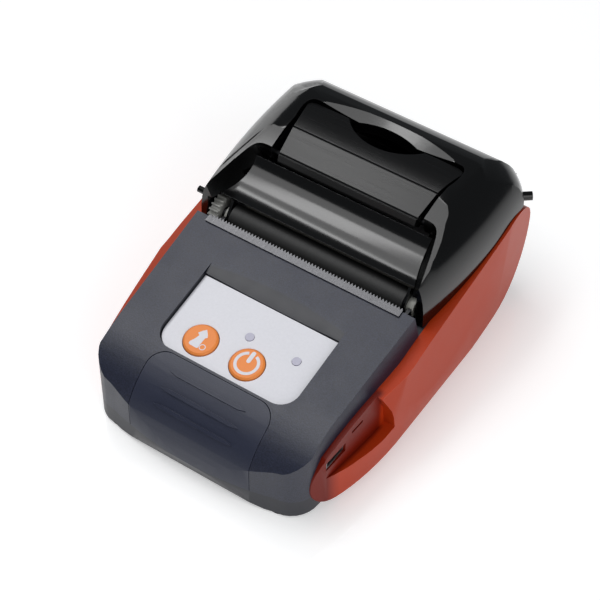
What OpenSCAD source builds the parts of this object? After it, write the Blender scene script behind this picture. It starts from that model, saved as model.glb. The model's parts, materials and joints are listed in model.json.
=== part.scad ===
// Portable thermal receipt printer for 58 mm paper, seen with its nose towards -Y.
// Origin: centre of the footprint, on the surface it stands on. +Z up, +Y to the rear hinge.
// Every piece is modelled where it sits with the lid shut.

/* [Case] */
// Front of the nose to the back of the lid
case_l = 106; // [104:0.5:110]
// Flat floor of the base above the table, carried by the feet
base_z = 0.6; // [0.4:0.1:1]
// Height of the lid's flat top above the table
case_h = 46; // [45.8:0.1:48]
// Half width of the core that carries the side panels
core_hw = 33.8; // [33.6:0.1:34.2]
// How much narrower the core is on each side at the nose
core_taper = 1.9; // [1:0.1:2.4]
// Radius of the nose curve seen from above
nose_plan_r = 93; // [80:1:120]
// Radius of the two upright corners of the nose
nose_corner_r = 8; // [6:0.5:9]
// Wall of the case shells
wall = 1.8; // [1.5:0.1:2]
// Height of the line where the two case halves meet
part_z = 6.2; // [5.4:0.1:7]
// Slope of the front deck
deck_tilt = 10; // [8:0.5:11]
// Height of the deck at its rear edge
deck_z = 31.2; // [30.9:0.1:31.6]
// Rear edge of the deck
deck_rear_y = -1.1; // [-1.6:0.1:-0.9]
// Rounding of the rear corners seen from above
rear_r = 6; // [4:0.5:8]

/* [Side panels] */
// Half of the overall width, at the widest place
case_hw = 38.5; // [37.8:0.1:39.5]
// Where along the length the panels are widest
bulge_y = 3; // [0:1:8]
// Lower edge of the panels above the table
panel_z = 1.5; // [1.2:0.1:2.5]
// Lean of the panel's face towards its top edge
panel_lean = 4; // [3:0.5:6]
// Extra lean of the panel's face at the nose, per mm of height and of length
nose_lean = 0.165; // [0.16:0.005:0.18]
// Thickness left in the hollow round the charging socket
socket_hollow = 1.5; // [1.2:0.1:1.8]

/* [Control panel] */
// Width of the label
label_w = 40; // [36:0.5:42]
// Length of the label down the slope
label_l = 22.5; // [21:0.5:23]
// Depth of the recess that holds the label
recess_d = 1.9; // [1.6:0.1:2.1]
// Thickness of the label
label_t = 0.5; // [0.3:0.1:0.8]
// Radius of the two buttons
button_r = 4.5; // [3.8:0.1:4.8]
// Clearance round each button
button_gap = 0.15; // [0.1:0.05:0.3]
// Travel of a button
button_travel = 0.5; // [0.3:0.1:0.6]
// Radius of the two light windows
lens_r = 1.2; // [1.1:0.1:1.5]

/* [Lid] */
// Height of the hinge axis
hinge_z = 27; // [26:0.25:28]
// Radius of the hinge barrel, which is flush with the back
barrel_r = 3.5; // [3.2:0.1:3.8]
// Radius of the hinge pin
hinge_pin_r = 1.25; // [1:0.05:1.5]
// Half width of the flat top of the lid
lid_flat_hw = 25; // [24.6:0.1:26]
// Gap between the lid and what it closes on
lid_gap = 0.3; // [0.25:0.05:0.5]

/* [Release lever] */
// Half width of the lever at its front edge
lever_hw = 20.5; // [20.4:0.1:21]
// Lower front edge of the lever
lever_y0 = 17.1; // [17:0.1:17.4]
// Rear edge of the lever
lever_y1 = 36.9; // [36.5:0.1:37.1]
// Gap behind the lever
lever_gap = 0.6; // [0.5:0.05:0.7]
// Radius of the lever's pin
lever_pin_r = 1; // [0.8:0.05:1.1]

/* [Printing unit] */
// Radius of the rubber roller
platen_r = 4.2; // [3.8:0.1:4.3]
// Roller axis, along the case
platen_y = 4.4; // [4.3:0.1:4.8]
// Roller axis, height
platen_z = 28.6; // [28.2:0.1:28.8]
// Radius of the roller's steel shaft
shaft_r = 1.5; // [1.2:0.1:1.8]
// Module of the gear teeth
gear_m = 0.45; // [0.44:0.01:0.46]
// Length of the tear bar
tear_l = 58; // [54:1:58]
// Space between neighbouring teeth of the tear bar
tear_pitch = 0.9; // [0.7:0.1:1.5]
// Radius of the paper bin
bin_r = 21.5; // [20.5:0.1:21.6]
// Half width of the paper bin, for 58 mm rolls
bin_hw = 29.4; // [29.2:0.1:29.6]

/* [Hidden] */
$fn = 64;
// Running clearance of pins in their bores, and face to face clearance of fixed pieces
run = 0.05;
fit = 0.15;
tiny = 0.01;
y_nose = -case_l / 2;
y_back = case_l / 2;
hinge_y = y_back - barrel_r;
floor_t = 1.8;
grip_t = 1.1;
rib_h = 0.45;
floor_z = base_z + floor_t;
deck_k = tan(deck_tilt);
// Where the flat deck turns into the nose
deck_front_y = y_nose + 19;
// The lid's front slope starts low over the roller and ends at the flat top
lid_front_y = 1.5;
slope_z0 = case_h - 6.65;
slope_y0 = 19.5;
slope_y1 = 27.5;
slope_k = 0.305;
// Depth of the frame round the window and the lever below the lid's shoulders
frame_drop = 0.35;
// Half width of the lid at its widest, and where that is
lid_rear_hw = 36.4;
lid_wide_y = 34;
// Deck frame: origin on the label's bed, under the middle of the label
deck_mid_y = deck_rear_y - 25;
label_bed_z = deck_z - recess_d;
label_s0 = -11.4;
// Button and light window places in the deck frame
feed_x = -9.9;
power_x = 3.9;
button_s = -5.4;
lens_x = [0, 13.8];
lens_s = 1.5;
button_rise = 0.7;
board_drop = 6.4;
board_t = 1;
switch_h = 2.2;
// Rear pins, screws and posts
boss_r = 2.8;
screw_r = 1.2;
front_boss = [28, y_nose + 8.2];
rear_boss = [29, deck_rear_y - 22];
boss_xy = [for (b = [front_boss, rear_boss], s = [-1, 1]) [s * b[0], b[1]]];
screw_head_r = 2.3;
screw_head_h = 1.4;
screw_seat_z = part_z - 2;
// Battery and its bay
battery_hw = 24.5;
battery_y0 = y_nose + 11;
battery_y1 = -9;
battery_z0 = base_z + floor_t + 0.1;
battery_z1 = 11.4;
bay_wall = 1;
bay_hw = battery_hw + 0.3 + bay_wall;
ear_r = barrel_r + 1.3;
door_t = 1.1;
door_lap = 1.2;
door_slide = 6;
foot_r = 3.5;
foot_in = 0.8;
// Printing unit frame
frame_x0 = -26.6;
frame_x1 = 29.1;
frame_t = 0.9;
frame_y0 = -8;
frame_y1 = 6.8;
frame_z0 = 13;
frame_top = 30.2;
rubber_x0 = -24.5;
rubber_x1 = 27.3;
bush_r = 2.6;
ear_t = 0.7;
ear_gap = 0.15;
head_gap = 0.05;
head_t = 0.7;
sink_t = 2.5;
sink_z0 = 16.4;
head_top = 29.7;
head_pivot_r = 0.9;
// Gear train: teeth, and the angle from each wheel to the next one
n_platen = 18;
n_small = 12;
n_large = 20;
n_idler = 20;
n_motor = 10;
a_reduction = -125;
a_idler = 195;
a_motor = 205;
gear_x0 = -30.6;
gear_x1 = -27.9;
wheel_x0 = -27.7;
wheel_x1 = -26.9;
axle_r = 0.8;
motor_r = 6;
motor_l = 11;
tear_w = 1.8;
tear_t = 0.45;
tooth_h = 0.8;
main_board_z = 13.6;
socket_y = -37.3;
socket_w = 7.5;
socket_h = 2.6;
// Paper bin
bin_t = 1;
bin_z = floor_z + bin_r + bin_t;
bin_y = y_back - wall - bin_r - bin_t - 0.6;
bin_top = hinge_z - barrel_r - 0.9;

// Point on a cubic curve, and the whole curve as points
function bez(p, t) = pow(1 - t, 3) * p[0] + 3 * t * pow(1 - t, 2) * p[1]
    + 3 * t * t * (1 - t) * p[2] + pow(t, 3) * p[3];
function curve(p, n = 12) = [for (i = [0:n]) bez(p, i / n)];
// Points of an arc about a centre
function arc(c, r, a0, a1, n = 8) = [for (i = [0:n]) c + r * [cos(a0 + (a1 - a0) * i / n),
    sin(a0 + (a1 - a0) * i / n)]];
function polar(r, a) = r * [cos(a), sin(a)];

// Height of the front deck and half width of the core at a place along the case
function deck_at(y) = deck_z + deck_k * (y - deck_rear_y);
function core_at(y) = core_hw - core_taper * max(0, min(1, (-10 - y) / 38));

// Extrudes a (y, z) outline sideways from x0 to x1
module along_x(x0, x1) {
    translate([x0, 0, 0]) rotate([90, 0, 90]) linear_extrude(x1 - x0) children();
}

// Extrudes an (x, z) outline lengthwise from y0 to y1
module along_y(y0, y1) {
    translate([0, y1, 0]) rotate([90, 0, 0]) linear_extrude(y1 - y0) children();
}

// A rod across the case
module rod(r, x0, x1, y, z) {
    translate([x0, y, z]) rotate([0, 90, 0]) cylinder(r = r, h = x1 - x0);
}

// Places children in the deck frame: x across, y up the slope, z out of the deck
module on_deck() {
    translate([0, deck_mid_y, deck_at(deck_mid_y) - recess_d / cos(deck_tilt)])
        rotate([deck_tilt, 0, 0]) children();
}

module both_sides() {
    children();
    mirror([1, 0, 0]) children();
}

// Outline of the core seen from above
module core_plan(inset = 0) {
    corner = nose_corner_r - inset;
    hw = core_hw - inset;
    nose_c = [0, y_nose + nose_plan_r];
    nose_hw = core_hw - core_taper - inset;
    a = asin((nose_hw - corner) / (nose_plan_r - inset));
    yb = y_back - inset;
    rr = rear_r - inset;
    side_y = -10;
    nose_end = nose_c + polar(nose_plan_r - inset, -90 + a);
    polygon(concat(
        arc(nose_c, nose_plan_r - inset, -90 - a, -90 + a, 24),
        arc([nose_hw - corner, nose_end[1] + corner], corner, -70, 0, 6),
        [[hw, side_y]],
        arc([hw - rr, yb - rr], rr, 0, 90),
        arc([-hw + rr, yb - rr], rr, 90, 180),
        [[-hw, side_y]],
        arc([-nose_hw + corner, nose_end[1] + corner], corner, 180, 250, 6)));
}

// Side view of the upper case, from the parting line to the deck
module top_side(inset = 0) {
    y0 = y_nose + inset;
    k = inset / cos(deck_tilt);
    front = [deck_front_y, deck_at(deck_front_y) - k];
    polygon(concat([[deck_rear_y - inset, part_z], [deck_rear_y - inset, deck_at(deck_rear_y) - k]],
        curve([front, front + [-12, -12 * deck_k], [y0, 16 - inset / 2], [y0, part_z]], 14)));
}

// Side view of the base: flat floor, rounded rear, hollow for the hinge barrel
module base_side(inset = 0) {
    rb = 16;
    up = inset > 0 ? 1 : 0;
    z0 = base_z + (inset > 0 ? floor_t : 0);
    polygon(concat([[y_nose + inset, part_z], [y_nose + 1.7 + inset, z0 + 0.8], [y_nose + 2.6 + inset, z0]],
        arc([y_back - inset - rb, z0 + rb], rb, -90, 0),
        [[y_back - inset, hinge_z - barrel_r - lid_gap + up],
            [hinge_y - barrel_r - lid_gap, hinge_z - barrel_r - lid_gap + up]],
        curve([[hinge_y - barrel_r - lid_gap, hinge_z + up], [hinge_y - 5, rim_z(hinge_y - 5) + up],
            [hinge_y - 7, rim_z(hinge_y - 7) + up], [hinge_y - 9, rim_z(hinge_y - 9) + up]], 6),
        [for (y = [36:-6:4]) [y, rim_z(y) + up]],
        [[deck_rear_y + lid_gap, rim_z(deck_rear_y) + up], [deck_rear_y + lid_gap, part_z]]));
}

// Upper edge of the side panels, which the lid's lower edge follows
function rim_z(y) = y < -10 ? bez([11, 24, 21, 23.6], (y - y_nose - 6) / (-10 - y_nose - 6))
    : bez([23.6, 26.4, 28.6, 31.6], min(1, (y + 10) / 50));

// Side view of the orange panels: a leaf with a blunt front and a drooping rear tip
module leaf() {
    y0 = y_nose + 6.2;
    tip = [y_back - 0.6, 22.5];
    polygon(concat(
        curve([[-38, panel_z], [y0 + 1, panel_z], [y0 - 0.8, 12], [-41, 18.9]], 12),
        curve([[-36, 20.3], [-24, 22.8], [-16, 22.2], [-8, 23.6]], 6),
        [for (y = [-2:6:36]) [y, rim_z(y)]],
        curve([[40, 31.6], [47, 32.2], [tip[0], 28.5], tip], 8),
        curve([tip, [tip[0], 12], [46, panel_z], [34, panel_z]], 10)));
}

// Slanted flanks between the deck's edge and the side panels
module flank_cut() {
    lean = 13.5;
    both_sides() translate([core_at(deck_rear_y) - 1.2, deck_rear_y, deck_z])
        rotate([0, -lean, -4.5]) translate([0, -90, -40]) cube([20, 100, 80]);
}

// Column of the nose grip's outline, seen from above
module grip_column(grow = 0) {
    hw = 17.9 + grow;
    y1 = y_nose + 14.4 + grow;
    r = 5;
    translate([0, 0, part_z - grow]) linear_extrude(30) union() {
        translate([-hw, y_nose - 5]) square([2 * hw, y1 - r - y_nose + 5]);
        translate([-hw + r, y_nose]) square([2 * (hw - r), y1 - y_nose]);
        for (s = [-1, 1]) translate([s * (hw - r), y1 - r]) circle(r);
    }
}

// Form of the case below its skin, which the grip is let into
module grip_bed(depth) {
    intersection() {
        linear_extrude(60, center = true) core_plan(depth);
        along_x(-30, 30) union() {
            offset(delta = -depth) top_side();
            translate([y_nose + depth, 0]) square([20, part_z + depth + 1]);
        }
    }
}

// Outline of the label and of its recess in the deck frame
module label_outline(grow = 0) {
    hw = label_w / 2 + grow;
    s0 = label_s0 - grow;
    r = 5;
    polygon(concat([[hw, label_s0 + label_l + grow], [-hw, label_s0 + label_l + grow]],
        arc([-hw + r, s0 + r], r, 180, 270), arc([hw - r, s0 + r], r, 270, 360)));
}

module base_shell() color([0.2, 0.21, 0.27]) difference() {
    union() {
        difference() {
            intersection() {
                translate([0, 0, base_z]) linear_extrude(case_h) core_plan();
                along_x(-core_hw - 1, core_hw + 1) base_side();
            }
            intersection() {
                translate([0, 0, floor_z]) linear_extrude(case_h) core_plan(wall);
                along_x(-core_hw, core_hw) union() {
                    base_side(wall);
                    translate([y_nose + wall, part_z - 1]) square([case_l - 2 * wall - 8, 40]);
                }
            }
        }
        // Lip that centres the upper case
        intersection() {
            difference() {
                translate([0, 0, floor_z - 0.3]) linear_extrude(part_z - floor_z + 1.5) core_plan(wall + fit);
                translate([0, 0, floor_z - 1]) linear_extrude(part_z + 3) core_plan(wall + fit + 0.9);
            }
            translate([-50, y_nose, 0]) cube([100, deck_rear_y - wall - y_nose, 20]);
        }
        // Battery bay walls, and the rear one also carries the printer frame
        for (s = [-1, 1])
            translate([s * (battery_hw + 0.3) + (s < 0 ? -bay_wall : 0), battery_y0 - 0.3, base_z])
            cube([bay_wall, battery_y1 - battery_y0 + 0.6, battery_z1 - base_z]);
        translate([-bay_hw, battery_y0 - 0.3 - bay_wall, base_z]) cube([2 * bay_hw, bay_wall, 8]);
        translate([-bay_hw, battery_y1 + 0.3, base_z]) cube([2 * bay_hw, bay_wall, frame_z0 - base_z]);
        for (x = [-20, 20]) translate([x, frame_y1 - 2.6, base_z]) cylinder(r = 2.4, h = frame_z0 - base_z);
        for (b = boss_xy) translate([b[0], b[1], base_z]) cylinder(r = boss_r, h = part_z - base_z);
        // Posts under the main board
        for (x = [-20, 20]) translate([x, battery_y0 - 0.3 - bay_wall - 1.4, base_z])
            cylinder(r = 1.8, h = main_board_z - base_z);
        // Hinge ears
        both_sides() hinge_ear();
    }
    for (b = boss_xy) translate([b[0], b[1], base_z - 1]) {
        cylinder(r = screw_r + fit, h = part_z + 3);
        cylinder(r = screw_head_r + fit, h = screw_seat_z - base_z + 1);
    }
    for (x = [-20, 20]) translate([x, frame_y1 - 2.6, frame_z0 - 7]) cylinder(r = 0.9, h = 8);
    rod(hinge_pin_r + 0.02, -core_hw - 5, core_hw + 5, hinge_y, hinge_z);
    door_hole(0);
    feet_at() translate([0, 0, -1]) cylinder(r = foot_r, h = 1 + foot_in + base_z);
    // Way out of the charging socket
    translate([core_hw - 8, socket_y - socket_w / 2 - fit, main_board_z + board_t - fit])
        cube([10, socket_w + 2 * fit, socket_h + 2 * fit]);
}

// Ear on the base that holds one end of the hinge pin
module hinge_ear() {
    intersection() {
        along_x(bin_hw + bin_t + 0.1, core_hw) union() {
            translate([hinge_y, hinge_z]) circle(ear_r);
            translate([hinge_y - 2.9, floor_z + 6]) square([5.2, hinge_z - floor_z - 9]);
            translate([hinge_y - 2.9, floor_z + 6]) square([2.9, hinge_z - floor_z - 6]);
        }
        linear_extrude(case_h) core_plan(0.4);
    }
}

// Hole for the battery door, with the ledge that the door lies on
module door_hole(grow) {
    hw = battery_hw - 1.5 + grow;
    y0 = battery_y0 + 2 - grow;
    y1 = battery_y1 - door_slide - 2 + grow;
    translate([-hw - door_lap, y0 - door_lap, base_z - 1])
        cube([2 * (hw + door_lap), y1 + door_slide - y0 + 2 * door_lap, door_t + 1]);
    translate([-hw, y0, base_z - 1]) cube([2 * hw, y1 - y0, 6]);
}

module battery_door() color([0.19, 0.2, 0.26]) {
    hw = battery_hw - 1.5 + door_lap - fit;
    y0 = battery_y0 + 2 - door_lap + fit;
    y1 = battery_y1 - door_slide - 2 + door_lap - fit;
    translate([-hw, y0, base_z]) difference() {
        cube([2 * hw, y1 - y0, door_t]);
        // Grip grooves
        for (i = [0:4]) translate([hw - 8, 4 + 1.6 * i, -tiny]) cube([16, 0.8, 0.5]);
    }
}

module feet_at() {
    for (s = [-1, 1]) {
        translate([s * 24, y_nose + 6.9, 0]) children();
        translate([s * 24, y_back - 19, 0]) children();
    }
}

module feet() color([0.12, 0.12, 0.12]) feet_at() cylinder(r = foot_r, h = base_z + foot_in);

module top_shell() color([0.3, 0.31, 0.38]) difference() {
    union() {
        difference() {
            intersection() {
                translate([0, 0, part_z]) linear_extrude(case_h) core_plan();
                along_x(-core_hw - 1, core_hw + 1) top_side();
            }
            intersection() {
                linear_extrude(2 * case_h, center = true) core_plan(wall);
                along_x(-core_hw, core_hw) difference() {
                    translate([0, -tiny]) union() {
                        top_side(wall);
                        translate([y_nose + wall, part_z - 1]) square([deck_rear_y - y_nose - wall + 3, 1.1]);
                        // The rear is open for the printing unit below the deck
                        translate([-14, part_z]) square([20, deck_at(-14) - part_z - wall - 0.4]);
                    }
                }
            }
        }
        // Bed of the label, screw bosses, ribs that locate the tear bar
        intersection() {
            top_outer();
            union() {
                on_deck() translate([0, 0, -wall]) linear_extrude(wall + recess_d) label_outline(2);
                for (b = boss_xy) translate([b[0], b[1], part_z + 1.4]) cylinder(r = boss_r, h = 14);
            }
        }
    }
    flank_cut();
    difference() {
        grip_column(fit);
        grip_bed(grip_t);
    }
    // Recess with a ramp behind the label
    on_deck() {
        linear_extrude(10) label_outline(0.2);
        // Ramp behind the label, its top edge slightly bowed
        intersection() {
            translate([0, label_s0 + label_l + 5.3 - 101, label_t])
                cylinder(r1 = 95.7, r2 = 95.7 + 5.3 * 4 / (recess_d - label_t), h = 4, $fn = 360);
            translate([-label_w / 2 - 0.2, 0, label_t]) cube([label_w + 0.4, 20, 8]);
        }
        for (x = [feed_x, power_x]) translate([x, button_s, -10])
            cylinder(r = button_r + button_gap, h = 12);
        for (x = lens_x) translate([x, lens_s, -10]) cylinder(r = lens_r - 0.3, h = 12);
    }
    for (b = boss_xy) translate([b[0], b[1], part_z - 1]) cylinder(r = screw_r + run, h = 9);
    // Relief in the bosses for the corners of the battery bay
    translate([-bay_hw - fit, battery_y0 - 0.3 - bay_wall - fit, base_z])
        cube([2 * (bay_hw + fit), battery_y1 - battery_y0, battery_z1 + 1]);
    // Thinner roof over the print head
    along_x(gear_x0 - 0.4, frame_x1 + frame_t + 0.4) polygon([[-6, 20], [-6, deck_at(-6) - 0.9],
        [0, deck_at(0) - 0.9], [0, 20]]);
    // Shallow crescent in front of the tear bar's ledge
    difference() {
        translate([0, deck_rear_y + 101.2, deck_z - 0.5]) rotate([deck_tilt, 0, 0])
            cylinder(r = 104, h = 4, $fn = 400);
        translate([-50, deck_rear_y - tear_w - 0.2, 0]) cube([100, 20, 60]);
    }
    translate([core_hw - 8, socket_y - socket_w / 2 - fit, main_board_z + board_t - fit])
        cube([10, socket_w + 2 * fit, socket_h + 2 * fit]);
}

// Filled outer form of the upper case
module top_outer(grow = 0) {
    intersection() {
        translate([0, 0, part_z]) linear_extrude(case_h) core_plan(-grow);
        along_x(-core_hw - 1, core_hw + 1) top_side(-grow);
    }
}

module nose_grip() color([0.27, 0.28, 0.36]) difference() {
    union() {
        intersection() {
            top_outer();
            grip_column();
        }
        intersection() {
            top_outer(rib_h);
            for (i = [0:2]) grip_rib(i);
        }
    }
    grip_bed(grip_t - tiny);
}

// One of the three raised finger ribs across the grip, its ends tapered
module grip_rib(i) {
    hw = 11.2 + 0.2 * i;
    translate([0, [-42.2, -46, -49.3][i], [21.9, 20, 17.3][i]]) rotate([[19, 34, 50][i], 0, 0])
        translate([0, 0, -2]) linear_extrude(5)
            polygon([[-hw, 0], [-hw + 2.2, 0.5], [hw - 2.2, 0.5],
                [hw, 0], [hw - 2.2, -0.5], [-hw + 2.2, -0.5]]);
}

// The panels' outer bulge seen from above
module panel_plan() {
    x_front = core_at(y_nose + 6) - 1.9;
    polygon(concat([[20, y_nose]],
        curve([[x_front, y_nose + 5.5], [x_front + 3.4, y_nose + 10.4],
            [case_hw - 0.9, -33], [case_hw - 0.5, -16]], 12),
        curve([[case_hw - 0.5, -16], [case_hw + 0.5, bulge_y],
            [case_hw + 0.15, 22], [case_hw - 3, y_back]], 14),
        [[20, y_back]]));
}

// Panel on the right; the left one is its mirror image
module side_panel(socket) {
    difference() {
        intersection() {
            along_x(core_hw - 4, case_hw + 1) leaf();
            linear_extrude(case_h) panel_plan();
            along_y(y_nose, y_back) polygon([[20, 0], [case_hw - 0.5, panel_z], [case_hw, 4], [case_hw, 8],
                [case_hw - 24 * tan(panel_lean), 32], [20, 40]]);
        }
        translate([0, 0, -1]) linear_extrude(case_h + 2) core_plan();
        // The face leans in more towards the nose, so the rim gets thinner there
        translate([case_hw + 4.6, 0, 0])
            rotate([0, -atan(nose_lean * cos(atan(nose_lean))), -atan(nose_lean)])
            translate([0, -100, -60]) cube([40, 200, 120]);
        if (socket) {
            // Hollow round the socket, with a slanted rear end
            translate([core_hw - 0.7 + socket_hollow - 1.5, y_nose + 5, 0]) rotate([0, 0, -2.8])
                along_x(0, 12) polygon([[0, 12.6], [10, 11], [20, 9.6], [26, 9], [31, 9.4],
                    [30, 16], [27, 23], [26, 40], [0, 40]]);
            translate([core_hw - 8, socket_y - socket_w / 2 - fit, main_board_z + board_t - fit])
                cube([14, socket_w + 2 * fit, socket_h + 2 * fit]);
            translate([core_hw - 2, -30.8, 18.4]) cube([8, 4.4, 0.8]);
        }
    }
}

module side_panel_left() color([0.85, 0.28, 0.12]) mirror([1, 0, 0]) side_panel(false);

module side_panel_right() color([0.85, 0.28, 0.12]) side_panel(true);

module label_plate() color([0.95, 0.95, 0.97]) on_deck() linear_extrude(label_t) difference() {
    label_outline(0);
    for (x = [feed_x, power_x]) translate([x, button_s]) circle(button_r + button_gap);
    for (x = lens_x) translate([x, lens_s]) circle(lens_r);
}

module button(x) {
    on_deck() translate([x, button_s, 0]) {
        translate([0, 0, -1.6]) cylinder(r = button_r, h = 1.6 + label_t + button_rise - 0.4);
        translate([0, 0, label_t + button_rise - 0.4]) cylinder(r1 = button_r, r2 = button_r - 0.5, h = 0.4);
        // Flange that keeps it in, and the stem that works the switch
        translate([0, 0, -wall - 0.1 - 0.8 - button_travel])
            cylinder(r = button_r - 0.2, h = 1.2 + button_travel);
        translate([0, 0, -wall - 1]) cylinder(r = button_r + 0.6, h = 0.9);
        translate([0, 0, -board_drop + switch_h + 0.02 + button_travel + 0.1]) cylinder(r = 1.5, h = 3);
    }
}

module feed_button() color([0.97, 0.6, 0.33]) button(feed_x);

module power_button() color([0.97, 0.6, 0.33]) button(power_x);

module light_window(x) {
    on_deck() translate([x, lens_s, 0]) {
        cylinder(r = lens_r - 0.05, h = label_t + 0.15);
        translate([0, 0, -board_drop + 1.4]) cylinder(r = lens_r - 0.4, h = board_drop - 1.4);
    }
}

module light_window_left() color([0.8, 0.8, 0.88]) light_window(lens_x[0]);

module light_window_right() color([0.8, 0.8, 0.88]) light_window(lens_x[1]);

module button_board() color([0.1, 0.35, 0.2]) on_deck()
    translate([-15, -11, -board_drop - board_t]) cube([32, 15.4, board_t]);

// Tact switches: square can with a short round plunger
module button_switches() color([0.75, 0.75, 0.75]) on_deck() for (x = [feed_x, power_x])
    translate([x, button_s, -board_drop]) {
        translate([-3, -3, 0]) cube([6, 6, switch_h - 0.6]);
        cylinder(r = 1.7, h = switch_h);
    }

module status_lights() color([0.9, 0.9, 0.85]) on_deck() for (x = lens_x)
    translate([x - 0.8, lens_s - 0.6, -board_drop]) cube([1.6, 1.2, 1.1]);

module main_board() color([0.08, 0.32, 0.18]) difference() {
    union() {
        translate([-24, y_nose + 8, main_board_z]) cube([48, 18.4, board_t]);
        translate([20, socket_y - 4.2, main_board_z]) cube([9.9, 9.2, board_t]);
    }
    for (x = [-20, 20]) translate([x, battery_y0 - 0.3 - bay_wall - 1.4, main_board_z - 1])
        cylinder(r = 1, h = 3);
}

// Processor, charger and driver packages
module board_chips() color([0.1, 0.1, 0.1]) {
    for (c = [[-16, -40, 10, 8], [2, -39, 7, 6], [12, -32, 5, 4]])
        translate([c[0], c[1], main_board_z + board_t]) cube([c[2], c[3], 0.9]);
}

module usb_socket() color([0.75, 0.76, 0.78]) translate([core_hw - 7.2, socket_y - socket_w / 2,
    main_board_z + board_t]) difference() {
    cube([6.6, socket_w, socket_h]);
    translate([0.8, 0.5, 0.5]) cube([7, socket_w - 1, socket_h - 1]);
    translate([-1, 2, 1]) cube([2, socket_w - 4, 0.4]);
}

module battery() color([0.18, 0.3, 0.55]) translate([-battery_hw, battery_y0, battery_z0])
    cube([2 * battery_hw, battery_y1 - battery_y0, battery_z1 - battery_z0]);

// Leaf contacts between the battery's rear end and the bay wall
module battery_contacts() color([0.85, 0.75, 0.4]) for (x = [-6, 0, 6])
    translate([x - 1, battery_y1 + 0.02, 5]) cube([2, 0.26, 5]);

module case_screws() color([0.5, 0.5, 0.52]) for (b = boss_xy)
    translate([b[0], b[1], screw_seat_z - screw_head_h]) {
        difference() {
            cylinder(r = screw_head_r, h = screw_head_h);
            for (a = [0, 90]) rotate([0, 0, a]) translate([-1.4, -0.3, -tiny]) cube([2.8, 0.6, 0.7]);
        }
        cylinder(r = screw_r, h = 10);
    }

// Steel frame: floor, back wall and two cheeks with open notches for the roller
module printer_frame() color([0.6, 0.62, 0.65]) {
    difference() {
        union() {
            translate([frame_x0, frame_y0, frame_z0])
                cube([frame_x1 + frame_t - frame_x0, frame_y1 - frame_y0, frame_t]);
            translate([frame_x0, frame_y0, frame_z0]) cube([frame_x1 + frame_t - frame_x0, frame_t, 12]);
            along_x(frame_x0, frame_x0 + frame_t) difference() {
                union() {
                    frame_cheek();
                    polygon([[motor_c[0] - motor_r, 11.9], [frame_y0, 11.9 + 1.1], [frame_y0 + 1, 25.5],
                        [motor_c[0] - motor_r, 24]]);
                }
                platen_notch();
            }
            along_x(frame_x1, frame_x1 + frame_t) difference() {
                frame_cheek();
                platen_notch();
            }
        }
        translate([3.5, frame_y0 - 1, frame_z0 + frame_t + 0.1]) cube([13, 3, 3]);
        for (c = [reduction_c, idler_c]) rod(axle_r, frame_x0 - 1, frame_x0 + 2, c[0], c[1]);
        rod(1.2, frame_x0 - 1, frame_x0 + 2, motor_c[0], motor_c[1]);
        rod(head_pivot_r + 0.02, frame_x0 - 1, frame_x1 + 2, head_pivot[0], head_pivot[1]);
        for (x = [-20, 20]) translate([x, frame_y1 - 2.6, frame_z0 - 1]) cylinder(r = 1.3, h = 3);
    }
}

module frame_cheek() {
    polygon([[frame_y0, frame_z0], [frame_y1, frame_z0], [8, 20], [8.3, frame_top], [-0.7, frame_top],
        [-0.7, 29], [-4.4, 28], [frame_y0, 26]]);
}

// Centres of the gears in the side view
platen_c = [platen_y, platen_z];
reduction_c = platen_c + polar((n_platen + n_small) * gear_m / 2, a_reduction);
idler_c = reduction_c + polar((n_large + n_idler) * gear_m / 2, a_idler);
motor_c = idler_c + polar((n_idler + n_motor) * gear_m / 2, a_motor);
head_pivot = [-2, sink_z0 + 1.4];

// Open notch that the roller's bush drops into
module platen_notch() {
    translate(platen_c) circle(bush_r + 0.1);
    translate(platen_c) polygon([[-bush_r - 0.1, 0], [-bush_r - 0.1, 6], [bush_r + 2, 6], [bush_r + 0.1, 0]]);
}

module frame_screws() color([0.5, 0.5, 0.52]) for (x = [-20, 20]) translate([x, frame_y1 - 2.6, 0]) {
    translate([0, 0, frame_z0 + frame_t]) cylinder(r = 2, h = 1);
    translate([0, 0, frame_z0 - 5]) cylinder(r = 0.85, h = 6.5);
}

// Ceramic strip with the heating line
module print_head() color([0.85, 0.83, 0.75]) {
    y = platen_y - platen_r - head_gap - head_t;
    translate([rubber_x0 + 0.4, y, 20]) cube([rubber_x1 - rubber_x0 - 0.8, head_t, head_top - 20]);
}

module head_heat_sink() color([0.7, 0.71, 0.73]) {
    y1 = platen_y - platen_r - head_gap - head_t;
    x0 = rubber_x0 - 0.6;
    x1 = rubber_x1 + 0.8;
    difference() {
        union() {
            translate([x0, y1 - sink_t, sink_z0]) cube([x1 - x0, sink_t, head_top - 0.4 - sink_z0]);
            for (i = [0:8]) translate([x0 + 4 + 5.8 * i, y1 - sink_t - 1, sink_z0 + 5])
                cube([1.2, 1.2, head_top - sink_z0 - 6]);
        }
        rod(head_pivot_r + run, x0 - 1, x1 + 1, head_pivot[0], head_pivot[1]);
    }
}

module head_pivot_pin() color([0.8, 0.8, 0.82])
    rod(head_pivot_r, frame_x0 - 0.2, frame_x1 + frame_t + 0.2, head_pivot[0], head_pivot[1]);

// Springs that press the head on the roller: each one steady helix of wire
module head_springs() color([0.8, 0.8, 0.82]) {
    y1 = platen_y - platen_r - head_gap - head_t - sink_t;
    y0 = frame_y0 + frame_t;
    for (x = [-17.5, 17.2]) difference() {
        translate([x, y1, 23]) rotate([90, 0, 0]) cylinder(r = 1.7, h = y1 - y0);
        translate([x, y1 + 1, 23]) rotate([90, 0, 0]) cylinder(r = 1.1, h = y1 - y0 + 2);
    }
}

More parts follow.
